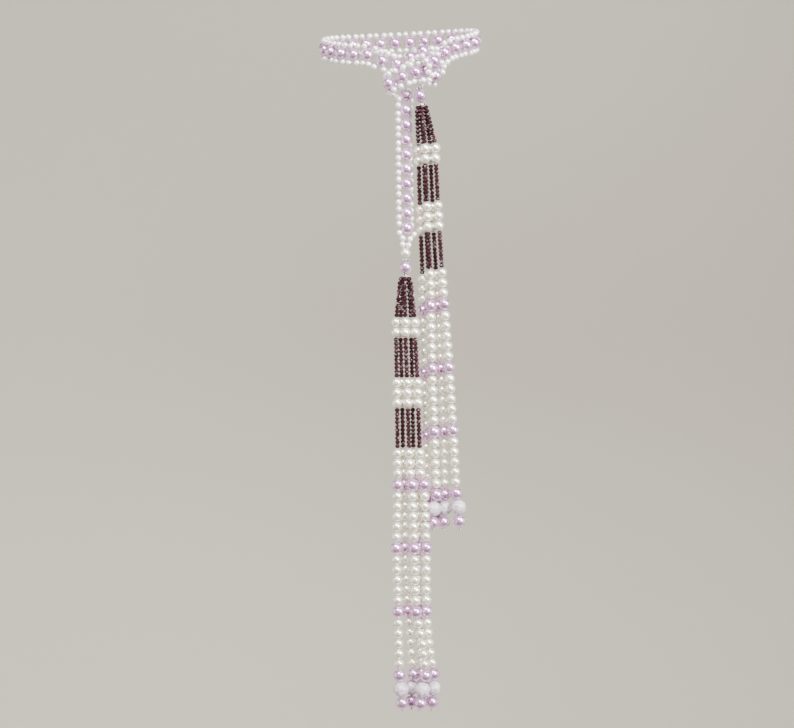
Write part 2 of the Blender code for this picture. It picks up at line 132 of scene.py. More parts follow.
# How long a row of ten crystals is on each string of the two tassels.
Runs = namedtuple("Runs", "a b c d e")
LONG_RUNS = Runs(31.5, 31.5, 31.5, 31.5, 31.5)
SHORT_RUNS = Runs(30.6, 29.4, 29.0, 29.4, 29.0)

# Where the five strings a to e lie at some depths below their cap: right of and behind its axis.
Level = namedtuple("Level", "below ax ay bx by cx cy dx dy ex ey")
LONG_LEVELS = (
    Level(0.0,   -1.9,  0.0,  -0.6, -1.8,  1.8, -0.6, -1.2,  1.5,  1.4,  1.4),
    Level(4.0,   -4.4,  0.0,  -0.8, -3.2,  3.9, -0.8, -2.2,  3.8,  2.6,  3.7),
    Level(35.0,  -7.5,  0.0,  -0.2, -3.8,  7.3,  0.0, -4.0,  7.5,  4.4,  7.8),
    Level(44.0,  -7.5,  0.0,  -0.2, -3.8,  7.3,  0.0, -4.0,  7.5,  4.4,  7.8),
    Level(83.0,  -6.9,  0.0,   1.2, -1.4,  9.4,  0.0, -2.9,  7.2,  5.4,  7.4),
    Level(99.0,  -6.7,  0.0,   1.6, -1.0,  9.8,  0.0, -2.6,  7.2,  5.6,  7.6),
    Level(138.0, -6.3,  0.0,   2.8, -1.0, 11.1,  0.4, -2.0,  7.2,  6.2,  8.4),
    Level(155.0, -6.2,  0.0,   3.6, -1.0, 11.8,  1.2, -1.6,  7.6,  7.2,  9.8),
    Level(163.5, -6.1,  0.0,   5.2, -1.2, 14.7,  2.8, -0.8,  8.8,  9.3, 12.2),
    Level(213.5, -7.4,  0.0,   6.9, -1.0, 16.5,  2.8, -0.7,  8.2, 10.8, 11.9),
    Level(263.5, -5.8,  0.0,   8.0, -2.0, 16.5,  3.8,  1.7,  7.3, 10.4, 12.6),
    Level(286.5, -5.7,  0.0,  13.0, -3.4, 18.0,  4.6,  4.0,  7.2, 11.6, 12.6),
    Level(313.5, -4.8,  0.0,  15.9, -2.4, 22.0,  6.6,  6.2,  6.2, 13.4, 13.4),
    Level(324.5, -3.7,  0.0,  13.3, -2.2, 22.0,  6.6,  4.6,  9.0, 13.8, 17.4),
    Level(343.0, -2.2,  0.0,  10.7, -1.6, 20.4,  5.4,  4.8,  9.4, 13.3, 15.2),
)
SHORT_LEVELS = (
    Level(0.0,   -1.9,  0.4,  -0.6, -1.8,  1.8, -0.8,  1.3,  1.5, -0.8,  1.9),
    Level(4.0,   -3.9,  1.4,  -0.5, -2.2,  3.8, -0.8,  3.0,  3.6, -1.2,  4.8),
    Level(35.0,  -2.6,  9.0,   2.6,  2.2, 10.8,  2.2,  6.9,  9.6,  1.8, 16.2),
    Level(44.0,  -2.6,  9.8,   2.6,  3.2, 10.8,  3.2,  6.9, 10.6,  1.8, 17.2),
    Level(83.0,  -1.4, 13.6,   4.2,  7.4, 12.8,  7.4,  8.6, 14.6,  3.0, 21.0),
    Level(99.0,  -0.8, 15.0,   4.8,  9.0, 13.6,  9.0,  9.3, 16.1,  3.5, 22.6),
    Level(138.0,  0.6, 18.2,   6.8, 11.6, 16.0, 11.6, 11.4, 19.0,  5.4, 25.8),
    Level(155.0,  0.9, 19.6,   7.0, 12.0, 17.2, 12.0, 12.3, 20.2,  6.2, 27.6),
    Level(163.5,  0.9, 20.6,   7.0, 12.0, 18.0, 12.0, 12.7, 21.2,  6.4, 29.6),
    Level(213.5,  1.8, 20.6,   8.1, 12.0, 21.6, 12.0, 15.4, 20.7,  8.7, 28.8),
    Level(263.5,  3.6, 20.6,   9.8, 12.0, 24.8, 12.0, 17.9, 20.4, 10.9, 28.2),
    Level(313.5,  4.7, 20.4,  11.6, 12.0, 27.4, 12.0, 18.4, 20.2, 11.5, 28.6),
    Level(324.5,  2.8, 21.9,   9.4, 11.4, 29.2, 12.0, 18.3, 20.1, 11.6, 30.8),
    Level(343.0,  3.4, 21.0,   8.9, 11.2, 30.4, 12.0, 17.0, 19.0, 11.9, 28.4),
)

# ---------------- the silver
SPACER_WIDTH = 7.6
SPACER_GRAINS = 9
SPACER_GRAIN = 1.35           # width of a spacer's round grains
CORE_HEIGHT = 0.4             # half the height of a spacer's core, by a grain's width
CORE_BULGE = 0.3              # how far the core stands out at half its height
CORE_EDGE = 0.6               # where the bulge ends, by half the core's height
CAP_HEIGHT = 2.6
CAP_WIDTH = 7.4
CAP_GRAINS = 8
CAP_GRAIN = 1.35              # width of a cap's largest grains

# A cap's bell from its collar to the inside of its foot: share of its radius and its height.
CAP_BELL = ((0.0, 1.0), (0.45, 1.0), (0.75, 0.8), (0.95, 0.4), (1.0, 0.2), (0.9, 0.1), (0.0, 0.2))

# A cap's rings of grains: share of its radius, of its height and of the largest grain.
CAP_RINGS = ((1.0, 0.3, 1.0), (0.72, 0.72, 0.7))

# ---------------- how fine the shapes are
HEAD_CUTS = 7                 # a ball is a rounded cube with this many cuts along its edges
LILAC_CUTS = 3
PEARL_CUTS = 2                # white and small pearls
TIP_CUTS = 1
CRYSTAL_SIDES = 8
CRYSTAL_BELT = 0.12           # half the height of a crystal's straight belt, by its height
CRYSTAL_TABLE = 0.32          # radius of a crystal's flat ends, by its width
CRYSTAL_BEVEL = 0.08          # width of the facets round them, by its width
FROST_STEPS = 3               # how often a frosted ball's faces are divided
FROST_UNEVEN = 0.003          # how far its skin rises and falls, by its width
FROST_SEED = 5
GRAIN_STEPS = 2               # how often a silver grain's faces are divided
TURN_STEPS = 32               # faces round a turned piece
THREAD_SIDES = 5
MERGE_REACH = 0.001           # vertices of a turned piece closer than this are one
RING_STEP = 1000.0            # weighs height above angle in the order of a turned piece's faces
CRISP_ANGLE = 40.0            # silver edges sharper than this stay crisp

# ---------------- how beads make room
SETTLE_ROUNDS = 80
SETTLE_REACH = 4.0            # pairs that start further apart than this never meet
HOME_PULL = 0.04              # share of its stray that a loose bead gives up each round

# ---------------- grains of the finishes
NACRE_CLOUD = 2.6             # clouds of paler nacre
NACRE_POLISH = 0.7            # glossier and duller lacquer
NACRE_SKIN = 0.45             # ripples under the lacquer
GLASS_FLASH = 0.9             # bright and dark parts of a facet that flashes
GLASS_DEPTH = 1.2             # darker places inside the glass
GLASS_POLISH = 0.5
CRACKLE_PIECE = 3.6           # from one crackle line to the next
FROST_CLOUD = 3.2             # warmer and cooler glass
FROST_SPECK = 1.6             # white specks inside the glass
SILVER_FILM = 0.9
SILVER_SKIN = 0.35
THREAD_PLY = 0.30
PAPER_TOOTH = 4.0

# How deep and metallic the pearls' nacre looks, and how pale its rim, both from 0 to 1.
Lacquer = namedtuple("Lacquer", "depth rim")
LILAC_LACQUER = Lacquer(0.80, 0.35)
WHITE_LACQUER = Lacquer(0.70, 0.55)
SMALL_LACQUER = Lacquer(0.45, 0.40)
CLOUD_LIFT = 1.12             # how much paler than its pearl a cloud is
FROST_WARM = 0.82             # share of green that the warmer glass keeps
FROST_COOL = 0.9              # share of red that the cooler glass keeps
THREAD_PLY_SHADE = 0.7           # how bright the painted shade between the thread's plies is
PAPER_SPECK = 0.9             # how bright the paper's darkest specks are
NO_FLASH = 0.925              # facets with chance values up to this don't flash
FULL_FLASH = 0.930            # those with values from this on do
BLACK = (0.0, 0.0, 0.0)
MIX_SHARE, MIX_FIRST, MIX_SECOND, MIX_RESULT = 0, 6, 7, 2   # the colour sockets of a Mix node

# ---------------- the photo's view and the room
VIEW_PLACE = (-0.00158, -1.686, -0.2672)
VIEW_TURN = 90.0              # from looking down to looking level
VIEW_LENS = 91.9              # millimetres
FLOOR_HEIGHT = -1.10
ROOM_HALF_WIDTH = 3.0
ROOM_HEIGHT = 4.0
ROOM_BEND = 0.9               # radius of the sweep from the floor to the upright sides
BEND_STEPS = 12
ROOM_SIDES = 96
CARD_PLACE = (0.0, -1.60, -1.05)
CARD_RADIUS = 1.35            # of the dark card whose patch shows in what is glossy
CARD_SHADE = (0.03, 0.03, 0.03)

# Each light: its name, the setting of its power, its place, its width and height, where it
# points and the angle that it fans out by.
Light = namedtuple("Light", "name power place size aim spread")
MIDDLE = (0.0, -0.06, -0.25)  # the middle of the tieback
LIGHTS = (
    Light("key",   "key",   (0.95, -1.16, 0.21),  (0.6, 1.0), MIDDLE,            60.0),
    Light("lamp",  "lamp",  (-0.16, -1.15, 0.78), (1.1, 0.5), MIDDLE,            60.0),
    Light("right", "sides", (1.7, -0.1, -0.2),    (2.0, 1.6), MIDDLE,            180.0),
    Light("left",  "sides", (-1.7, -0.1, -0.2),   (2.0, 1.6), MIDDLE,            180.0),
    Light("top",   "top",   (0.0, -0.10, 1.30),   (2.2, 1.4), (0.0, -0.09, 0.0), 180.0),
    Light("back",  "back",  (0.0, 1.20, 1.90),    (1.6, 1.6), (0.0, 2.4, -0.2),  120.0),
    Light("front", "front", (0.0, -1.20, 1.90),   (1.6, 1.6), (0.0, -3.0, 0.2),  120.0),
)

Sizes = namedtuple("Sizes", "lilac white frost small crystal tip")


# ---------------- settings

def bead_size(name, words, default):
    """A length setting for one kind of bead."""
    return FloatProperty(name=name, description=words, default=default, min=0.0005, max=0.03,
                         unit="LENGTH")


def finish_colour(name, words, default):
    """A colour setting for one finish."""
    return FloatVectorProperty(name=name, description=words, default=default, size=3, min=0.0,
                               max=1.0, subtype="COLOR")


def light_power(name, words, default):
    """A setting for the power of one light."""
    return FloatProperty(name=name, description=words, default=default, min=0.0, max=500.0,
                         unit="POWER")


class TIEBACK_PG_sizes(bpy.types.PropertyGroup):
    """How wide each kind of bead is."""

    lilac: bead_size("Lilac pearl", "Width of the lilac pearls", 0.010)
    white: bead_size("White pearl", "Width of the white pearls on the strings", 0.008)
    frost: bead_size("Frosted ball", "Width of the frosted crackle balls", 0.012)
    small: bead_size("Small pearl", "Width of the band's small pearls", 0.005)
    crystal: bead_size("Crystal", "Width of a faceted crystal", 0.004)
    tip: bead_size("Last bead", "Width of the tiny bead at a string's end", 0.0019)
    thread: bead_size("Thread", "Width of the beading thread", 0.0006)


class TIEBACK_PG_colours(bpy.types.PropertyGroup):
    """What colour each finish has."""

    lilac: finish_colour("Lilac nacre", "Lilac pearls", (0.76, 0.48, 0.75))
    lilac_deep: finish_colour("Deep lilac nacre", "The deepest lilac pearls", (0.64, 0.35, 0.62))
    white: finish_colour("White nacre", "White pearls", (0.97, 0.93, 0.81))
    white_deep: finish_colour("Warm nacre", "The warmest white pearls", (0.90, 0.83, 0.68))
    small: finish_colour("Small nacre", "Small pearls", (0.93, 0.88, 0.84))
    small_deep: finish_colour("Tinted nacre", "Small pearls with a lilac cast", (0.86, 0.76, 0.83))
    plum: finish_colour("Plum crystal", "Most facets", (0.018, 0.006, 0.009))
    burgundy: finish_colour("Burgundy crystal", "Facets lit from within", (0.060, 0.021, 0.027))
    glint: finish_colour("Crystal glint", "The few facets that flash", (0.80, 0.78, 0.95))
    frost: finish_colour("Frosted glass", "Crackle balls", (0.58, 0.49, 0.56))
    crackle: finish_colour("Crackle lines", "Lines inside the crackle balls", (0.93, 0.90, 0.95))
    silver: finish_colour("Silver", "Caps and spacers", (0.70, 0.68, 0.64))
    # The tarnish film's colour, also painted as shade on the cores and bells behind the grains.
    tarnish_and_shade: finish_colour("Tarnish", "Hollows of caps and spacers", (0.04, 0.035, 0.035))
    thread: finish_colour("Thread", "Beading thread", (0.62, 0.50, 0.60))


class TIEBACK_PG_stage(bpy.types.PropertyGroup):
    """Floor, backdrop and light."""

    paper: finish_colour("Backdrop", "Floor and backdrop", (0.68, 0.64, 0.56))
    sky: finish_colour("Room light", "Light from all round", (0.86, 0.88, 0.92))
    room: FloatProperty(name="Room", description="Strength of the light from all round",
                        default=0.12, min=0.0, max=5.0)
    key: light_power("Key light", "The light from in front on the right", 12.0)
    lamp: light_power("Lamp", "The light from high in front", 9.5)
    sides: light_power("Side lights", "The wide, weak lights at both sides", 14.0)
    top: light_power("Top light", "The wide, weak light from above", 5.0)
    back: light_power("Back light", "The light on the backdrop behind the tieback", 34.5)
    front: light_power("Front light", "The light on the backdrop behind the camera", 22.0)


# ---------------- the band's course

Row = namedtuple("Row", "centre face upper lower")
Spot = namedtuple("Spot", "centre along face upper lower")


def loop_point(angle):
    """A place on the loop's oval, with angle 0 at the back and growing towards the left."""
    side = -sin(angle)
    back = cos(angle)
    base, slope, curve = LOOP_DROP
    x = LOOP_CENTRE_X + LOOP_HALF_WIDTH * side
    y = LOOP_HALF_DEPTH * (back - 1.0)
    z = base + slope * back + curve * back * back + LOOP_TILT * (x - LOOP_CENTRE_X)
    return Vector((x, y, z))


def loop_rows():
    """The loop's pearls at even steps along its oval, from left of the knot round to its right."""
    start = pi - asin((LOOP_CENTRE_X - LOOP_FIRST_X) / LOOP_HALF_WIDTH)
    end = -pi - asin((LOOP_CENTRE_X - LOOP_LAST_X) / LOOP_HALF_WIDTH)
    step = (end - start) / WALK_STEPS
    walk = [loop_point(start + step * k) for k in range(WALK_STEPS + 1)]
    lengths = [0.0]
    for near, far in zip(walk, walk[1:]):
        lengths.append(lengths[-1] + (far - near).length)
    rows = []
    k = 0
    for pearl in range(LOOP_PEARLS):
        want = lengths[-1] * pearl / (LOOP_PEARLS - 1)
        while k < WALK_STEPS - 1 and lengths[k + 1] < want:
            k += 1
        share = (want - lengths[k]) / (lengths[k + 1] - lengths[k])
        centre = walk[k].lerp(walk[k + 1], share)
        out_x = (centre.x - LOOP_CENTRE_X) / LOOP_HALF_WIDTH ** 2
        out_y = (centre.y + LOOP_HALF_DEPTH) / LOOP_HALF_DEPTH ** 2
        rows.append(Row(centre, Vector((out_x, out_y, 0.0)).normalized(), 0.0, 0.0))
    return rows


def knot_rows(table):
    """The rows of one of the knot's tables."""
    return [Row(Vector((k.x, k.y, k.z)), Vector((k.face_x, k.face_y, k.face_z)).normalized(),
                k.upper, k.lower) for k in table]


def tail_rows():
    """The rows of the straight hanging tail."""
    top = Vector(TAIL_TOP)
    end = Vector(TAIL_END)
    face = Vector(TAIL_FACE).normalized()
    return [Row(top.lerp(end, k / (TAIL_PEARLS - 1)), face, TAIL_FOLD, 0.0)
            for k in range(TAIL_PEARLS)]


def band_rows():
    """Every lilac pearl of the band, from the short tassel to the long one."""
    return knot_rows(KNOT_LEFT) + loop_rows() + knot_rows(KNOT_RIGHT) + tail_rows()


def between(rows, k, share):
    """The band's centre, direction, face and folds at a share of the way from pearl k to the
    next, on a smooth curve through the pearls."""
    a = rows[k - 1].centre if k > 0 else Vector(SHORT_END_AIM)
    b = rows[k].centre
    c = rows[k + 1].centre
    d = rows[k + 2].centre if k < len(rows) - 2 else Vector(LONG_END_AIM)
    t = share
    centre = 0.5 * (2 * b + (c - a) * t + (2 * a - 5 * b + 4 * c - d) * t ** 2
                    + (3 * b - a - 3 * c + d) * t ** 3)
    along = 0.5 * ((c - a) + (2 * a - 5 * b + 4 * c - d) * 2 * t
                   + (3 * b - a - 3 * c + d) * 3 * t ** 2)
    along.normalize()
    face = rows[k].face.lerp(rows[k + 1].face, t)
    face = (face - along * face.dot(along)).normalized()
    upper = rows[k].upper + (rows[k + 1].upper - rows[k].upper) * t
    lower = rows[k].lower + (rows[k + 1].lower - rows[k].lower) * t
    return Spot(centre, along, face, radians(upper), radians(lower))


def side_places(spot, reach):
    """The two places at a reach to the band's sides, on its upper and its lower side."""
    across = spot.along.cross(spot.face)
    places = []
    for side, fold in ((1.0, spot.upper), (-1.0, spot.lower)):
        out = across * side
        places.append(spot.centre + (out * cos(fold) + spot.face * sin(fold)) * reach)
    return places


def end_places(spot, aim, last_face):
    """The pairs of small pearls on the narrowing end of the band."""
    aim = Vector(aim)
    handle = spot.centre + spot.along * (END_HANDLE * (aim - spot.centre).length)
    pairs = []
    for end in BAND_END:
        t = end.share
        centre = spot.centre * (1 - t) ** 2 + handle * (2 * t * (1 - t)) + aim * t ** 2
        course = ((handle - spot.centre) * (1 - t) + (aim - handle) * t).normalized()
        face = spot.face.lerp(last_face, t)
        face = (face - course * face.dot(course)).normalized()
        pairs.append(side_places(Spot(centre, course, face, 0.0, 0.0), end.half_width))
    return pairs


# ---------------- where every bead lies

class Bead:
    """One bead: its piece, its width, its middle, the course of its hole and its height along
    that, its string if it has one, and whether it can give way to other beads."""

    def __init__(self, piece, width, place, course=None, height=None, string=None, loose=True):
        self.piece = piece
        self.width = width
        self.height = height or width
        self.place = Vector(place)
        self.home = Vector(place)
        self.course = Vector(course) if course else Vector((0.0, 0.0, 1.0))
        self.string = string
        self.loose = loose


def middle_of(node):
    """The middle of a solid of the frame, in millimetres."""
    low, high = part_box(node)
    return (low + high) / (2.0 * MM)


def cap_foot(head, axis, sizes):
    """Where the strings leave the cap below a head pearl."""
    return middle_of(head) + Vector(axis).normalized() * (0.5 * sizes.lilac + GAP + CAP_HEIGHT)


def band_beads(sizes):
    """The band's beads, and the runs of thread that join them."""
    rows = band_rows()
    lilac = [Bead("band_lilac", sizes.lilac, row.centre, loose=False) for row in rows]
    beads = list(lilac)
    runs = []
    for k in range(len(rows) - 1):
        pitch = (rows[k + 1].centre - rows[k].centre).length
        small = (0.5 * pitch - SMALL_STAND * sizes.small) / pitch
        firsts = side_places(between(rows, k, small), SIDE_ROW)
        seconds = side_places(between(rows, k, 1.0 - small), SIDE_ROW)
        for first, second in zip(firsts, seconds):
            pair = [Bead("band_small", sizes.small, first), Bead("band_small", sizes.small, second)]
            beads += pair
            runs.append([lilac[k], *pair, lilac[k + 1]])
    first = between(rows, 0, 0.0)
    backwards = Spot(first.centre, -first.along, first.face, 0.0, 0.0)
    last = between(rows, len(rows) - 2, 1.0)
    long_end = end_places(last, LONG_END_AIM, last.face)
    short_end = end_places(backwards, SHORT_END_AIM, Vector(SHORT_END_FACE).normalized())
    heads = ((lilac[-1], long_end, "pearl_long_neck"), (lilac[0], short_end, "pearl_short_head"))
    for pearl, pairs, node in heads:
        head = Bead("head", 0.0, middle_of(node), loose=False)
        for side in (0, 1):
            row = [Bead("band_small", sizes.small, pair[side]) for pair in pairs]
            beads += row
            runs.append([pearl, *row, head])
    return beads, runs


def string_place(levels, letter, below):
    """How far right and back a string is at a depth below the cap, straight between levels."""
    k = 0
    while k < len(levels) - 2 and levels[k + 1].below < below:
        k += 1
    low = levels[k]
    high = levels[k + 1]
    t = min(max((below - low.below) / (high.below - low.below), 0.0), 1.0)
    right = getattr(low, letter + "x") * (1 - t) + getattr(high, letter + "x") * t
    back = getattr(low, letter + "y") * (1 - t) + getattr(high, letter + "y") * t
    return right, back


def string_beads(tassel, letter, levels, run, foot, sizes):
    """The beads of one string from its cap down, with rows of crystals as long as a run."""
    widths = {"white": sizes.white, "lilac": sizes.lilac, "frost": sizes.frost, "tip": sizes.tip}
    beads = []
    depth = 0.0
    mark = 0.0
    for kind, count in STRING:
        crystals = kind == "crystals"
        width = sizes.crystal if crystals else widths[kind]
        pitch = run / SECTION_CRYSTALS if crystals else width
        step = SECTION / SECTION_CRYSTALS if crystals else width
        for _ in range(SECTION_CRYSTALS if crystals else count):
            right, back = string_place(levels, letter, mark)
            far_right, far_back = string_place(levels, letter, mark + step)
            course = Vector((far_right - right, far_back - back, -pitch)).normalized()
            right, back = string_place(levels, letter, mark + 0.5 * step)
            place = foot + Vector((right, back, -depth - 0.5 * pitch))
            beads.append(Bead(tassel + "_" + kind, width, place, course, height=pitch,
                              string=tassel + letter))
            depth += pitch
            mark += step
    return beads


def settle(beads):
    """Beads that would share space push each other apart, and stay as near home as they can."""
    pairs = []
    for k, one in enumerate(beads):
        for two in beads[k + 1:]:
            if not (one.loose or two.loose) or (one.string and one.string == two.string):
                continue
            room = 0.5 * (one.width + two.width)
            if (one.home - two.home).length < room + SETTLE_REACH:
                pairs.append((one, two, room))
    for _ in range(SETTLE_ROUNDS):
        for one, two, room in pairs:
            apart = two.place - one.place
            short = room - apart.length
            if short <= 0.0:
                continue
            push = apart.normalized() * short
            give = 1.0 if not (one.loose and two.loose) else 0.5
            for bead, way in ((one, -give), (two, give)):
                if bead.loose:
                    bead.place += Vector((push.x, push.y, 0.0 if bead.string else push.z)) * way
        for bead in beads:
            bead.place = bead.place.lerp(bead.home, HOME_PULL)


@lru_cache(maxsize=4)
def strung(sizes):
    """Every bead in its settled place, and the runs of thread of the band and each tassel."""
    beads, band_runs = band_beads(sizes)
    runs = {"band": band_runs}
    heads = (
        Bead("neck", sizes.white, middle_of("pearl_long_neck"), loose=False),
        Bead("long_head", sizes.lilac, middle_of("pearl_long_head"), loose=False),
        Bead("short_head", sizes.lilac, middle_of("pearl_short_head"), loose=False),
    )
    beads += heads
    for tassel, axis, levels, lengths in (("long", LONG_AXIS, LONG_LEVELS, LONG_RUNS),
                                          ("short", SHORT_AXIS, SHORT_LEVELS, SHORT_RUNS)):
        foot = cap_foot("pearl_" + tassel + "_head", axis, sizes)
        runs[tassel] = []
        for letter in "abcde":
            string = string_beads(tassel, letter, levels, getattr(lengths, letter), foot, sizes)
            right, back = string_place(levels, letter, 0.0)
            root = Bead("root", 0.0, foot + Vector((right, back, 0.0)), loose=False)
            beads += string
            runs[tassel].append([root, *string])
    settle(beads)
    return beads, runs


def sizes_of(context):
    """The bead sizes in millimetres."""
    group = context.scene.tieback_sizes
    return Sizes(*[round(getattr(group, field) / MM, 4) for field in Sizes._fields])


# ---------------- finishes

def plug(links, socket, value):
    """Sets a socket to a value, or joins it to another node's output."""
    if isinstance(value, bpy.types.NodeSocket):
        links.new(value, socket)
    else:
        socket.default_value = value


class Finish:
    """A material under construction, with short words for the nodes that it needs."""

    def __init__(self, name):
        self.material = bpy.data.materials.new(name)
        self.material.use_nodes = True
        self.nodes = self.material.node_tree.nodes
        self.links = self.material.node_tree.links
        self.shader = self.nodes["Principled BSDF"]
        self.place = self.nodes.new("ShaderNodeTexCoord").outputs["Object"]

    def set(self, **values):
        """Sets sockets of the shader, named with underscores for spaces."""
        for name, value in values.items():
            plug(self.links, self.shader.inputs[name.replace("_", " ")], value)

    def noise(self, grain, detail=3.0):
        """Cloudy noise whose grains are a width in millimetres across."""
        node = self.nodes.new("ShaderNodeTexNoise")
        node.inputs["Scale"].default_value = 1.0 / (grain * MM)
        node.inputs["Detail"].default_value = detail
        self.links.new(self.place, node.inputs["Vector"])
        return node.outputs["Fac"]

    def attribute(self, name):
        """A value that the mesh carries."""
        node = self.nodes.new("ShaderNodeAttribute")
        node.attribute_name = name
        return node.outputs["Fac"]

    def spread(self, value, low, high, to_low=0.0, to_high=1.0):
        """Stretches a value from one range to another."""
        node = self.nodes.new("ShaderNodeMapRange")
        for name, number in (("From Min", low), ("From Max", high),
                             ("To Min", to_low), ("To Max", to_high)):
            node.inputs[name].default_value = number
        self.links.new(value, node.inputs["Value"])
        return node.outputs["Result"]

    def mix(self, share, first, second):
        """A colour between two others."""
        node = self.nodes.new("ShaderNodeMix")
        node.data_type = "RGBA"
        plug(self.links, node.inputs[MIX_SHARE], share)
        plug(self.links, node.inputs[MIX_FIRST], first)
        plug(self.links, node.inputs[MIX_SECOND], second)
        return node.outputs[MIX_RESULT]

    def bump(self, height, strength, depth):
        """Raises the surface by a height, with its depth in millimetres."""
        node = self.nodes.new("ShaderNodeBump")
        node.inputs["Strength"].default_value = strength
        node.inputs["Distance"].default_value = depth * MM
        self.links.new(height, node.inputs["Height"])
        self.links.new(node.outputs["Normal"], self.shader.inputs["Normal"])


def colour(value):
    """A colour setting with full opacity."""
    return (*value, 1.0)


def shaded(value, share):
    """A colour setting made darker or paler, with full opacity."""
    return colour(min(1.0, channel * share) for channel in value)


def nacre(name, light, deep, lacquer):
    """Pearl nacre under a clear coat: each bead has its own depth of colour, with pale clouds."""
    finish = Finish(name)
    cloud = finish.spread(finish.noise(NACRE_CLOUD), low=0.40, high=0.75, to_high=0.5)
    body = finish.mix(finish.attribute("tint"), colour(light), colour(deep))
    body = finish.mix(cloud, body, shaded(light, CLOUD_LIFT))
    polish = finish.spread(finish.noise(NACRE_POLISH), low=0.3, high=0.7,
                           to_low=0.16, to_high=0.24)
    finish.set(Base_Color=body, Metallic=lacquer.depth, Specular_IOR_Level=0.5, Coat_Weight=0.5,
               Coat_Roughness=0.05, Sheen_Weight=lacquer.rim, Sheen_Roughness=0.35,
               Roughness=polish)
    finish.bump(finish.noise(NACRE_SKIN, detail=2.0), strength=0.06, depth=0.05)
    return finish.material


def cut_glass(name, colours):
    """Dark faceted crystal: each facet has its own depth of colour, and a few flash."""
    finish = Finish(name)
    facet = finish.attribute("facet")
    body = finish.mix(finish.spread(facet, low=0.45, high=0.90), colour(colours.plum),
                      colour(colours.burgundy))
    flash = finish.mix(finish.spread(finish.noise(GLASS_FLASH), low=0.45, high=0.55),
                       colour(BLACK), finish.spread(facet, low=NO_FLASH, high=FULL_FLASH))
    deep = finish.spread(finish.noise(GLASS_DEPTH), low=0.45, high=0.8, to_high=0.4)
    body = finish.mix(deep, body, colour(colours.plum))
    body = finish.mix(flash, body, colour(colours.glint))
    polish = finish.spread(finish.noise(GLASS_POLISH), low=0.3, high=0.7,
                           to_low=0.04, to_high=0.12)
    finish.set(Base_Color=body, Metallic=flash, Specular_IOR_Level=0.10, Roughness=polish)
    return finish.material


def crackle_glass(name, colours):
    """Milky frosted glass with fine crackle lines inside."""
    finish = Finish(name)
    cracks = finish.nodes.new("ShaderNodeTexVoronoi")
    cracks.feature = "DISTANCE_TO_EDGE"
    cracks.inputs["Scale"].default_value = 1.0 / (CRACKLE_PIECE * MM)
    finish.links.new(finish.place, cracks.inputs["Vector"])
    line = finish.spread(cracks.outputs["Distance"], low=0.0, high=0.11, to_low=0.8, to_high=0.0)
    cloud = finish.spread(finish.noise(FROST_CLOUD), low=0.40, high=0.62)
    speck = finish.spread(finish.noise(FROST_SPECK), low=0.50, high=0.66)
    red, green, blue = colours.frost
    warm = (red, FROST_WARM * green, blue)
    cool = (FROST_COOL * red, green, green)
    body = finish.mix(cloud, colour(warm), colour(cool))
    body = finish.mix(speck, body, colour(colours.crackle))
    body = finish.mix(line, body, colour(colours.crackle))
    finish.set(Base_Color=body, Transmission_Weight=0.35, IOR=1.45, Coat_Weight=0.6,
               Coat_Roughness=0.12,
               Roughness=finish.spread(cloud, low=0.0, high=1.0, to_low=0.30, to_high=0.45))
    finish.bump(line, strength=0.12, depth=0.08)
    return finish.material


def old_silver(name, light, dark):
    """Plated metal with a darker, rougher film where not rubbed, and painted shade behind grains.
    """
    finish = Finish(name)
    film = finish.spread(finish.noise(SILVER_FILM, detail=4.0), low=0.45, high=0.72, to_high=0.5)
    body = finish.mix(film, colour(light), colour(dark))
    # The core or bell behind the grains takes this dark colour fully, as painted shade.
    body = finish.mix(finish.attribute("hollow"), body, colour(dark))
    finish.set(Base_Color=body, Metallic=1.0,
               Roughness=finish.spread(film, low=0.0, high=0.5, to_low=0.16, to_high=0.38))
    finish.bump(finish.noise(SILVER_SKIN, detail=2.0), strength=0.12, depth=0.05)
    return finish.material


def beading_thread(name, shade):
    """Twisted nylon thread with a fine fuzz."""
    finish = Finish(name)
    ply = finish.noise(THREAD_PLY, detail=2.0)
    # Darker where the ply sinks, as painted shade between the plies.
    body = finish.mix(finish.spread(ply, low=0.3, high=0.7), shaded(shade, THREAD_PLY_SHADE),
                      colour(shade))
    finish.set(Base_Color=body, Sheen_Weight=0.3, Sheen_Roughness=0.5,
               Roughness=finish.spread(ply, low=0.0, high=1.0, to_low=0.5, to_high=0.8))
    finish.bump(ply, strength=0.3, depth=0.08)
    return finish.material


def paper_finish(name, shade):
    """Plain matt paper."""
    finish = Finish(name)
    tooth = finish.spread(finish.noise(PAPER_TOOTH, detail=2.0), low=0.2, high=0.8, to_high=0.06)
    body = finish.mix(tooth, colour(shade), shaded(shade, PAPER_SPECK))
    finish.set(Base_Color=body, Roughness=0.85, Specular_IOR_Level=0.2)
    return finish.material


def finish_for(slot_name, context):
    """The material of one of the record's slots, made once."""
    name = "finish_" + slot_name
    if name in bpy.data.materials:
        return bpy.data.materials[name]
    colours = context.scene.tieback_colours
    makers = {
        "lilac_pearl": lambda: nacre(name, colours.lilac, colours.lilac_deep, LILAC_LACQUER),
        "white_pearl": lambda: nacre(name, colours.white, colours.white_deep, WHITE_LACQUER),
        "small_pearl": lambda: nacre(name, colours.small, colours.small_deep, SMALL_LACQUER),
        "crystal": lambda: cut_glass(name, colours),
        "frosted": lambda: crackle_glass(name, colours),
        "silver": lambda: old_silver(name, colours.silver, colours.tarnish_and_shade),
        "thread": lambda: beading_thread(name, colours.thread),
    }
    return makers[slot_name]()


# ---------------- shapes

def ball_shape(cuts):
    """A ball one unit wide: a cube with cuts along its edges, blown round."""
    bm = bmesh.new()
    bmesh.ops.create_cube(bm, size=1.0)
    bmesh.ops.subdivide_edges(bm, edges=bm.edges, cuts=cuts, use_grid_fill=True)
    for vert in bm.verts:
        vert.co = 0.5 * vert.co.normalized()
    return shape_mesh(bm, smooth=True)


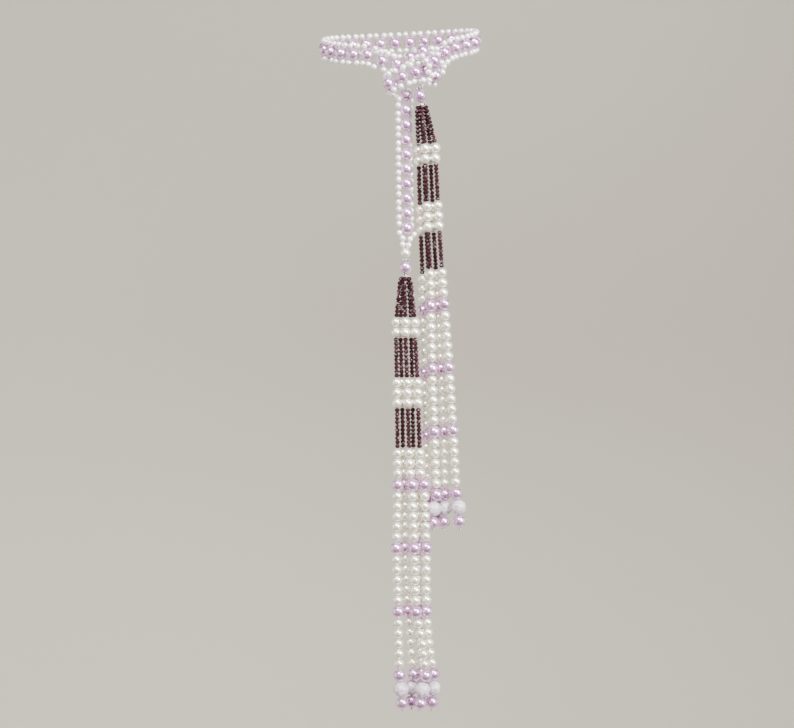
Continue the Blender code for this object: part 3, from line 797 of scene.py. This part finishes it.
def crystal_shape():
    """A cut bead one unit wide and high: a belt between two rows of facets and two flat ends."""
    bm = bmesh.new()
    depth = 0.5 - CRYSTAL_BELT
    for turn in (0.0, pi):
        place = Matrix.Rotation(turn, 4, "X") @ Matrix.Translation((0.0, 0.0, 0.5 - 0.5 * depth))
        bmesh.ops.create_cone(bm, cap_ends=True, segments=CRYSTAL_SIDES, radius1=0.5,
                              radius2=CRYSTAL_TABLE, depth=depth, matrix=place)
    near = 2.0 * CRYSTAL_BELT
    inner = [face for face in bm.faces if all(abs(vert.co.z) < near for vert in face.verts)]
    rims = {edge for face in inner for edge in face.edges}
    bmesh.ops.delete(bm, geom=inner, context="FACES_ONLY")
    bmesh.ops.bridge_loops(bm, edges=list(rims))
    tables = [face for face in bm.faces if len(face.verts) == CRYSTAL_SIDES]
    ring = {edge for face in tables for edge in face.edges}
    bmesh.ops.bevel(bm, geom=list(ring), offset=CRYSTAL_BEVEL, affect="EDGES", segments=1,
                    profile=0.5, material=-1)
    bmesh.ops.recalc_face_normals(bm, faces=bm.faces)
    return shape_mesh(bm, smooth=False)


def frosted_shape():
    """A ball one unit wide with a slightly uneven, frosted skin."""
    bm = bmesh.new()
    bmesh.ops.create_icosphere(bm, subdivisions=FROST_STEPS, radius=0.5)
    chance = Random(FROST_SEED)
    for vert in bm.verts:
        vert.co *= 1.0 + chance.uniform(-FROST_UNEVEN, FROST_UNEVEN)
    return shape_mesh(bm, smooth=True)


def mesh_of(name, bm):
    """A mesh from a bmesh, which is freed."""
    mesh = bpy.data.meshes.new(name)
    bm.to_mesh(mesh)
    bm.free()
    return mesh


def shape_mesh(bm, smooth):
    """A mesh that beads are copied from."""
    mesh = mesh_of("shape", bm)
    if smooth:
        mesh.shade_smooth()
    return mesh


def turn_to(course):
    """The turn that lays the Z axis along a course."""
    return course.to_track_quat("Z", "Y").to_matrix().to_4x4()


def add_piece(name, bm, slot_name, nodes, context):
    """Makes a finished piece of a bmesh, which rides on the frame and stands for its nodes."""
    mesh = mesh_of(name, bm)
    mesh.materials.append(finish_for(slot_name, context))
    piece = bpy.data.objects.new(name, mesh)
    context.scene.collection.objects.link(piece)
    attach(piece, "root")
    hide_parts(*nodes)
    return piece


def string_up(name, beads, shape, slot_name, nodes, context):
    """Joins one copy of a shape for each bead, each with its own turn and depth of colour."""
    if not beads:
        raise RuntimeError("no beads for " + name)
    chance = Random(name)
    bm = bmesh.new()
    tints = []
    for bead in beads:
        one = shape.copy()
        spin = Matrix.Rotation(chance.uniform(0.0, 2.0 * pi), 4, "Z")
        size = Matrix.Diagonal((bead.width * MM, bead.width * MM, bead.height * MM, 1.0))
        one.transform(Matrix.Translation(bead.place * MM) @ turn_to(bead.course) @ spin @ size)
        bm.from_mesh(one)
        tints += [chance.random()] * len(one.vertices)
        bpy.data.meshes.remove(one)
    piece = add_piece(name, bm, slot_name, nodes, context)
    tint = piece.data.attributes.new("tint", "FLOAT", "POINT")
    tint.data.foreach_set("value", tints)
    facet = piece.data.attributes.new("facet", "FLOAT", "FACE")
    facet.data.foreach_set("value", [chance.random() for _ in piece.data.polygons])
    bpy.data.meshes.remove(shape)
    return piece


def lay_threads(name, runs, nodes, context):
    """A thread through every run of beads, from middle to middle."""
    radius = 0.5 * context.scene.tieback_sizes.thread
    bm = bmesh.new()
    for run in runs:
        for near, far in zip(run, run[1:]):
            way = far.place - near.place
            place = Matrix.Translation((near.place + 0.5 * way) * MM) @ turn_to(way)
            bmesh.ops.create_cone(bm, cap_ends=True, segments=THREAD_SIDES, radius1=radius,
                                  radius2=radius, depth=way.length * MM, matrix=place)
    return add_piece(name, bm, "thread", nodes, context)


def turned(bm, profile, steps=TURN_STEPS):
    """Adds a form turned about the Z axis from a profile of radius and height."""
    verts = [bm.verts.new((radius, 0.0, height)) for radius, height in profile]
    edges = [bm.edges.new(pair) for pair in zip(verts, verts[1:])]
    bmesh.ops.spin(bm, geom=verts + edges, cent=(0.0, 0.0, 0.0), axis=(0.0, 0.0, 1.0),
                   angle=2.0 * pi, steps=steps, use_merge=True)
    bmesh.ops.remove_doubles(bm, verts=bm.verts, dist=MERGE_REACH)
    bmesh.ops.recalc_face_normals(bm, faces=bm.faces)
    bm.faces.sort(key=turned_order)


def turned_order(face):
    """Puts a turned form's faces in the same order each run: up its rings and round them."""
    middle = face.calc_center_median()
    return middle.z * RING_STEP + atan2(middle.y, middle.x)


def grains(bm, count, ring, height, width):
    """Adds a ring of small round grains."""
    for k in range(count):
        angle = 2.0 * pi * k / count
        place = Matrix.Translation((ring * cos(angle), ring * sin(angle), height))
        bmesh.ops.create_icosphere(bm, subdivisions=GRAIN_STEPS, radius=0.5 * width,
                                   matrix=place)


# ---------------- operators

class TIEBACK_OT_band(bpy.types.Operator):
    """Lays the woven band: lilac pearls, small pearls at both sides and their threads"""

    bl_idname = "tieback.weave_band"
    bl_label = "Weave the band"

    def execute(self, context):
        beads, runs = strung(sizes_of(context))
        lilac = [bead for bead in beads if bead.piece == "band_lilac"]
        small = [bead for bead in beads if bead.piece == "band_small"]
        string_up("band_lilac_pearls", lilac, ball_shape(LILAC_CUTS), "lilac_pearl", ["band"],
                  context)
        string_up("band_small_pearls", small, ball_shape(PEARL_CUTS), "small_pearl", ["band"],
                  context)
        lay_threads("band_threads", runs["band"], ["band"], context)
        return {"FINISHED"}


class TIEBACK_OT_heads(bpy.types.Operator):
    """Sets the large pearls above both tassels"""

    bl_idname = "tieback.set_heads"
    bl_label = "Set the head pearls"

    def execute(self, context):
        sizes = sizes_of(context)
        for node, width, slot_name in (("pearl_long_neck", sizes.white, "white_pearl"),
                                       ("pearl_long_head", sizes.lilac, "lilac_pearl"),
                                       ("pearl_short_head", sizes.lilac, "lilac_pearl")):
            bead = Bead(node, width, middle_of(node))
            string_up("dressed_" + node, [bead], ball_shape(HEAD_CUTS), slot_name, [node],
                      context)
        return {"FINISHED"}


class TIEBACK_OT_silver(bpy.types.Operator):
    """Makes the spacers and the caps, with their rings of round grains"""

    bl_idname = "tieback.make_silver"
    bl_label = "Make the silver"

    def execute(self, context):
        sizes = sizes_of(context)
        for tassel, axis in (("long", LONG_AXIS), ("short", SHORT_AXIS)):
            course = Vector(axis).normalized()
            node = "spacer_" + tassel
            self.make_spacer(tassel + "_spacer", middle_of(node), course, node, context)
            foot = cap_foot("pearl_" + tassel + "_head", axis, sizes)
            self.make_cap(tassel + "_cap", foot, course, "tassel_" + tassel, context)
        return {"FINISHED"}

    def make_spacer(self, name, middle, course, node, context):
        """A daisy spacer: a core painted dark as shade, with a ring of round grains."""
        bm = bmesh.new()
        core = 0.5 * SPACER_WIDTH - SPACER_GRAIN
        bulge = core + CORE_BULGE
        half = CORE_HEIGHT * SPACER_GRAIN
        edge = CORE_EDGE * half
        turned(bm, ((0.0, half), (core, half), (bulge, edge), (bulge, -edge), (core, -half),
                    (0.0, -half)))
        dark = len(bm.verts)
        grains(bm, SPACER_GRAINS, 0.5 * (SPACER_WIDTH - SPACER_GRAIN), 0.0, SPACER_GRAIN)
        self.place(bm, middle, course)
        self.finish(add_piece(name, bm, "silver", [node], context), dark)

    def make_cap(self, name, foot, course, node, context):
        """A bead cap: a shallow bell painted dark as shade, with two rings of round grains on it.
        """
        bm = bmesh.new()
        radius = 0.5 * CAP_WIDTH - 0.5 * CAP_GRAIN
        turned(bm, [(out * radius, up * CAP_HEIGHT) for out, up in CAP_BELL])
        dark = len(bm.verts)
        for out, up, grain in CAP_RINGS:
            grains(bm, CAP_GRAINS, out * radius, up * CAP_HEIGHT, grain * CAP_GRAIN)
        self.place(bm, foot, -course)
        self.finish(add_piece(name, bm, "silver", [node], context), dark)

    def place(self, bm, middle, course):
        """Lays a form made about the Z axis, in millimetres, along a course."""
        place = Matrix.Translation(middle * MM) @ turn_to(course) @ Matrix.Scale(MM, 4)
        bmesh.ops.transform(bm, matrix=place, verts=bm.verts)

    def finish(self, piece, dark):
        """Smooths a piece and marks its first vertices, which lie behind the grains, for painted
        shade.
        """
        piece.data.shade_smooth()
        piece.data.set_sharp_from_angle(angle=radians(CRISP_ANGLE))
        # The painted shade of the core or bell behind the grains.
        hollow = piece.data.attributes.new("hollow", "FLOAT", "POINT")
        hollow.data.foreach_set("value", [float(k < dark) for k in range(len(hollow.data))])


class TIEBACK_OT_tassels(bpy.types.Operator):
    """Strings both tassels: crystals, white and lilac pearls, frosted balls and last beads"""

    bl_idname = "tieback.string_tassels"
    bl_label = "String the tassels"

    def execute(self, context):
        beads, runs = strung(sizes_of(context))
        for tassel in ("long", "short"):
            nodes = ["tassel_" + tassel]
            for kind, shape, slot_name in (("crystals", crystal_shape(), "crystal"),
                                           ("white", ball_shape(PEARL_CUTS), "white_pearl"),
                                           ("lilac", ball_shape(LILAC_CUTS), "lilac_pearl"),
                                           ("frost", frosted_shape(), "frosted"),
                                           ("tip", ball_shape(TIP_CUTS), "silver")):
                piece = tassel + "_" + kind
                own = [bead for bead in beads if bead.piece == piece]
                string_up(piece, own, shape, slot_name, nodes, context)
            lay_threads(tassel + "_threads", runs[tassel], nodes, context)
        return {"FINISHED"}


class TIEBACK_OT_stage(bpy.types.Operator):
    """Sets up the pale backdrop, the soft lights and the photo's view"""

    bl_idname = "tieback.set_stage"
    bl_label = "Set the stage"

    def execute(self, context):
        settings = context.scene.tieback_stage
        self.backdrop(context, settings)
        self.card(context)
        for light in LIGHTS:
            self.light(context, light, getattr(settings, light.power))
        self.room(context, settings)
        self.view(context)
        return {"FINISHED"}

    def backdrop(self, context, settings):
        """A round floor that sweeps up on all sides, with its faces towards the tieback."""
        bm = bmesh.new()
        sweep = [0.5 * pi * k / BEND_STEPS for k in range(BEND_STEPS + 1)]
        bend = [(ROOM_HALF_WIDTH - ROOM_BEND * (1.0 - sin(turn)),
                 FLOOR_HEIGHT + ROOM_BEND * (1.0 - cos(turn))) for turn in sweep]
        turned(bm, ((0.0, FLOOR_HEIGHT), *bend, (ROOM_HALF_WIDTH, FLOOR_HEIGHT + ROOM_HEIGHT)),
               steps=ROOM_SIDES)
        bmesh.ops.reverse_faces(bm, faces=bm.faces)
        mesh = mesh_of("backdrop", bm)
        mesh.shade_smooth()
        mesh.materials.append(paper_finish("finish_paper", settings.paper))
        backdrop = bpy.data.objects.new("backdrop", mesh)
        context.scene.collection.objects.link(backdrop)

    def card(self, context):
        """A dark card low in front, which shows only as a dark patch in what is glossy."""
        bm = bmesh.new()
        bmesh.ops.create_circle(bm, cap_ends=True, segments=ROOM_SIDES, radius=CARD_RADIUS,
                                matrix=Matrix.Translation(CARD_PLACE))
        mesh = mesh_of("card", bm)
        mesh.materials.append(paper_finish("finish_card", CARD_SHADE))
        card = bpy.data.objects.new("card", mesh)
        card.visible_camera = False
        card.visible_diffuse = False
        card.visible_transmission = False
        card.visible_shadow = False
        context.scene.collection.objects.link(card)

    def light(self, context, light, power):
        """A soft light from the table, with a power in watts."""
        data = bpy.data.lights.new(light.name, "AREA")
        data.energy = power
        data.spread = radians(light.spread)
        data.shape = "RECTANGLE"
        data.size, data.size_y = light.size
        way = Vector(light.aim) - Vector(light.place)
        lamp = bpy.data.objects.new(light.name, data)
        lamp.location = light.place
        lamp.rotation_euler = way.to_track_quat("-Z", "Y").to_euler()
        context.scene.collection.objects.link(lamp)

    def room(self, context, settings):
        """Even light from all round."""
        world = context.scene.world or bpy.data.worlds.new("room")
        context.scene.world = world
        world.use_nodes = True
        sky = world.node_tree.nodes["Background"]
        sky.inputs["Color"].default_value = colour(settings.sky)
        sky.inputs["Strength"].default_value = settings.room

    def view(self, context):
        """The camera, level and in front, as the photo was taken."""
        view = bpy.data.cameras.new("view")
        view.lens = VIEW_LENS
        camera = bpy.data.objects.new("view", view)
        camera.location = VIEW_PLACE
        camera.rotation_euler = (radians(VIEW_TURN), 0.0, 0.0)
        context.scene.collection.objects.link(camera)
        context.scene.camera = camera


class TIEBACK_PT_panel(bpy.types.Panel):
    """Sizes, colours and steps of the tieback"""

    bl_idname = "TIEBACK_PT_panel"
    bl_label = "Beaded tieback"
    bl_space_type = "VIEW_3D"
    bl_region_type = "UI"
    bl_category = "Tieback"

    def draw(self, context):
        for group in (context.scene.tieback_sizes, context.scene.tieback_colours,
                      context.scene.tieback_stage):
            box = self.layout.box()
            for name in group.__annotations__:
                box.prop(group, name)
        for step in STEPS:
            self.layout.operator(step.bl_idname)


GROUPS = {"tieback_sizes": TIEBACK_PG_sizes, "tieback_colours": TIEBACK_PG_colours,
          "tieback_stage": TIEBACK_PG_stage}
STEPS = (TIEBACK_OT_band, TIEBACK_OT_heads, TIEBACK_OT_silver, TIEBACK_OT_tassels,
         TIEBACK_OT_stage)


def register():
    """Adds the classes, and the settings to the scene."""
    for group in (*GROUPS.values(), *STEPS, TIEBACK_PT_panel):
        bpy.utils.register_class(group)
    for name, group in GROUPS.items():
        setattr(bpy.types.Scene, name, PointerProperty(type=group))


def unregister():
    """Takes the settings and the classes out again."""
    for name in GROUPS:
        delattr(bpy.types.Scene, name)
    for group in (TIEBACK_PT_panel, *STEPS, *GROUPS.values()):
        bpy.utils.unregister_class(group)


def main():
    """Makes every piece and the stage."""
    register()
    bpy.ops.tieback.weave_band()
    bpy.ops.tieback.set_heads()
    bpy.ops.tieback.make_silver()
    bpy.ops.tieback.string_tassels()
    bpy.ops.tieback.set_stage()


if __name__ == "__main__":
    main()
